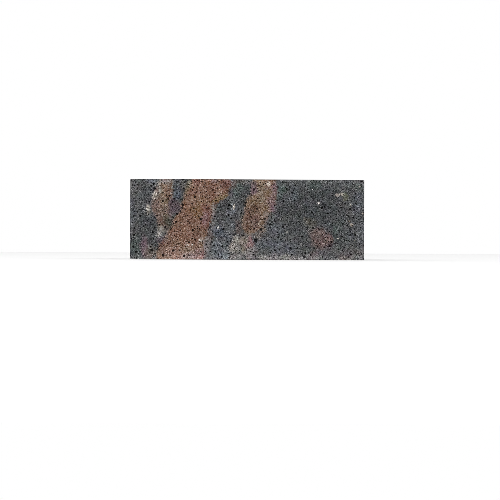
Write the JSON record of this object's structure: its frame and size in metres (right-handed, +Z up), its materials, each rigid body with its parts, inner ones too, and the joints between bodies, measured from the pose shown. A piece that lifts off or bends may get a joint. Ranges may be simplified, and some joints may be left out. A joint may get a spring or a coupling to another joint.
{
  "type": "walling stone",
  "caption": "Rectangular walling stone of pressed concrete with crisp arrises, pitted anthracite faces and terracotta streaks, stacked dry or glued in garden walls.",
  "frame": {"origin": "middle of the bed face that the stone lies on", "axes": "+X along the length of the course, +Y from the show face to the back, +Z up; the show face looks along -Y"},
  "size_m": [0.3, 0.12, 0.103],
  "materials": {
    "concrete": "matte"
  },
  "bodies": {
    "root": {"walling_stone": "concrete"}
  },
  "joints": []
}
